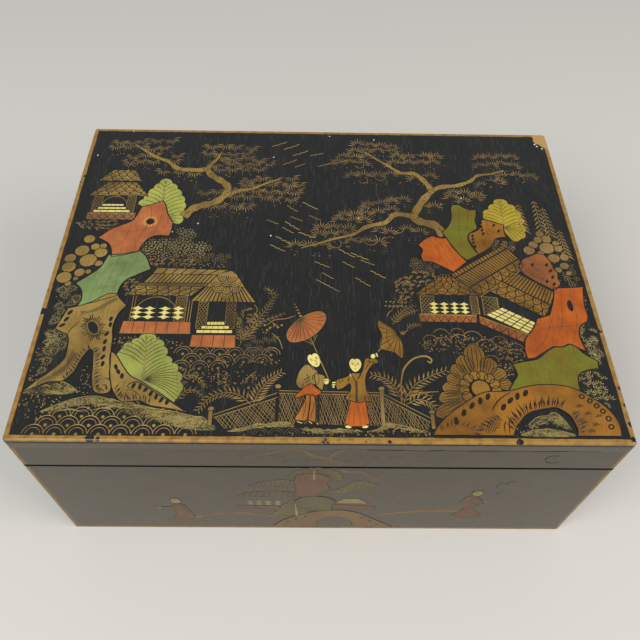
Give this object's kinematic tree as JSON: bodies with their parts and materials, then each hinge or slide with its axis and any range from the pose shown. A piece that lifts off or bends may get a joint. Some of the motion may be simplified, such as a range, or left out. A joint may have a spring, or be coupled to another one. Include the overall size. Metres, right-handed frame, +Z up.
{
  "type": "jewelry box",
  "caption": "Lacquered wooden jewelry box with painted ornament, a hinged lid and a lift-out tray with ring rolls.",
  "frame": {"origin": "middle of the underside", "axes": "+Z up, +X to the right along the width, the front faces -Y"},
  "size_m": [0.303, 0.228, 0.124],
  "materials": {
    "black_lacquer": "glossy lacquer",
    "tray_lacquer": "satin lacquer",
    "red_velvet": "short pile",
    "brass": "aged, satin",
    "gold_paint": "worn gilt",
    "red_paint": "satin paint",
    "green_paint": "satin paint",
    "cream_paint": "satin paint"
  },
  "bodies": {
    "base": {"base_front_board": "black_lacquer", "base_back_board": "black_lacquer", "base_left_board": "black_lacquer", "base_right_board": "black_lacquer", "base_bottom_board": "black_lacquer", "lining_front": "red_velvet", "lining_back": "red_velvet", "lining_left": "red_velvet", "lining_right": "red_velvet", "floor_pad": "red_velvet", "left_hinge_base_leaf": "brass", "right_hinge_base_leaf": "brass", "left_hinge_pin": "brass", "right_hinge_pin": "brass", "base_hinge_screws": "brass"},
    "lid": {"lid_top_board": "black_lacquer", "lid_front_rail": "black_lacquer", "lid_back_rail": "black_lacquer", "lid_left_rail": "black_lacquer", "lid_right_rail": "black_lacquer", "lid_pad": "red_velvet", "left_hinge_lid_leaf": "brass", "right_hinge_lid_leaf": "brass", "lid_hinge_screws": "brass"},
    "tray": {"tray_front_board": "tray_lacquer", "tray_back_board": "tray_lacquer", "tray_left_board": "tray_lacquer", "tray_right_board": "tray_lacquer", "tray_bottom_board": "tray_lacquer", "tray_long_divider": "tray_lacquer", "tray_front_divider": "tray_lacquer", "tray_back_left_divider": "tray_lacquer", "tray_back_right_divider": "tray_lacquer", "ring_rolls": "red_velvet", "tray_pad_front": "red_velvet", "tray_pad_back_left": "red_velvet", "tray_pad_back_middle": "red_velvet", "tray_pad_back_right": "red_velvet"}
  },
  "joints": [
    {"name": "lid_hinge", "type": "hinge", "parent": "base", "child": "lid", "pos_m": [0, 0.1108, 0.095], "axis": [-1, 0, 0], "range_deg": [0, 100]},
    {"name": "tray_lift", "type": "slide", "parent": "base", "child": "tray", "axis": [0, 0, 1], "range_m": [0, 0.018]}
  ]
}
